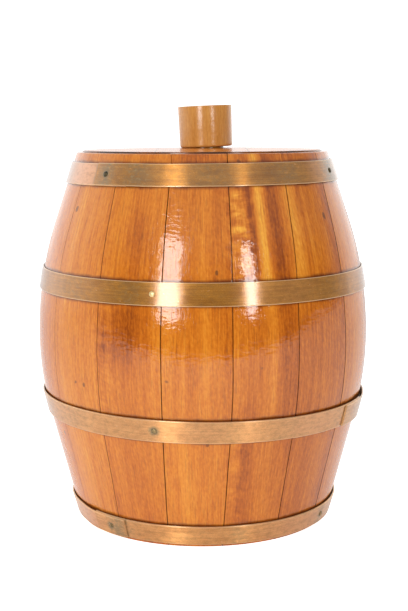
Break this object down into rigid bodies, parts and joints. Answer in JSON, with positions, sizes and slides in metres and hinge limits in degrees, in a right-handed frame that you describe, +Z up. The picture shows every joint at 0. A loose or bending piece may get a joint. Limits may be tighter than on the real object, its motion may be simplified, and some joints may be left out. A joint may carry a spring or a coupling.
{
  "type": "coopered barrel",
  "caption": "Small varnished oak barrel of bulged staves bound by nailed metal strip hoops, with a boarded lift-off lid in a rabbet and a loose turned stopper.",
  "frame": {"origin": "centre of the circle that the staves' feet stand on, on the barrel's axis", "axes": "+Z up along the barrel's axis; -Y is the front that the nailed laps face"},
  "size_m": [0.2632, 0.2632, 0.3272],
  "materials": {
    "stave_wood": "glossy varnished oak, vertical grain",
    "head_wood": "bare planed oak",
    "lid_wood": "glossy varnished oak",
    "stopper_wood": "glossy varnished turned oak",
    "dowel_wood": "bare turned beech",
    "batten_wood": "bare planed oak",
    "aged_brass": "aged brass strip, brushed, stained",
    "rose_brass": "reddish brass strip, brushed and scratched",
    "nail_brass": "small domed nail heads, tarnished",
    "screw_brass": "countersunk wood screws"
  },
  "bodies": {
    "barrel": {"stave_01": "stave_wood", "stave_02": "stave_wood", "stave_03": "stave_wood", "stave_04": "stave_wood", "stave_05": "stave_wood", "stave_06": "stave_wood", "stave_07": "stave_wood", "stave_08": "stave_wood", "stave_09": "stave_wood", "stave_10": "stave_wood", "stave_11": "stave_wood", "stave_12": "stave_wood", "stave_13": "stave_wood", "stave_14": "stave_wood", "stave_15": "stave_wood", "stave_16": "stave_wood", "hoop_top": "aged_brass", "hoop_top_nails": "nail_brass", "hoop_upper_bilge": "aged_brass", "hoop_upper_bilge_nails": "nail_brass", "hoop_lower_bilge": "rose_brass", "hoop_lower_bilge_nails": "nail_brass", "hoop_base": "rose_brass", "hoop_base_nails": "nail_brass", "head_board_left": "head_wood", "head_board_centre": "head_wood", "head_board_right": "head_wood", "head_dowels": "dowel_wood"},
    "lid": {"lid_board_left": "lid_wood", "lid_board_centre": "lid_wood", "lid_board_right": "lid_wood", "lid_dowels": "dowel_wood", "lid_batten_front": "batten_wood", "lid_batten_back": "batten_wood", "lid_screws": "screw_brass"},
    "stopper": {"stopper": "stopper_wood"}
  },
  "joints": [
    {"name": "lid_lift", "type": "slide", "parent": "barrel", "child": "lid", "axis": [0, 0, 1], "range_m": [0, 0.15]},
    {"name": "stopper_pull", "type": "slide", "parent": "lid", "child": "stopper", "axis": [-0.0384, 0, 0.9993], "range_m": [0, 0.06]}
  ]
}
